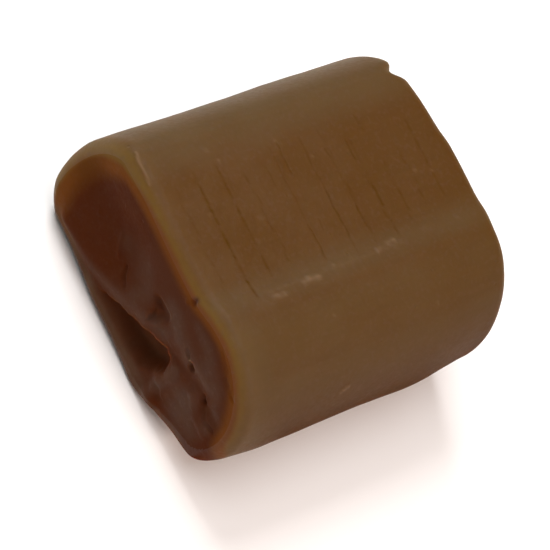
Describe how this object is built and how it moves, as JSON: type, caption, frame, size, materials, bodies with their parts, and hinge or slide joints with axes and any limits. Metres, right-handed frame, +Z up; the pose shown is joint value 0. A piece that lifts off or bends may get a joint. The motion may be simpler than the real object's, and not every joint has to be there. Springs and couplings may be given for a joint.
{
  "type": "fudge bar",
  "caption": "Short bar of soft brown fudge, unwrapped, with rounded long edges, a finely lined flat face and uneven knife-cut ends.",
  "frame": {"origin": "middle of the bar's box in X and Y, on the surface that it lies on", "axes": "+Y along the bar from its open-looking cut end at -Y to the far cut end, +Z up from the flat face it lies on to the lined flat face, +X towards the low, broadly rounded long edge"},
  "size_m": [0.0238, 0.0258, 0.0134],
  "materials": {
    "fudge": "satin, smooth on the long faces and uneven on the cut ends, slightly translucent at thin rims"
  },
  "bodies": {
    "root": {"fudge_bar": "fudge"}
  },
  "joints": []
}
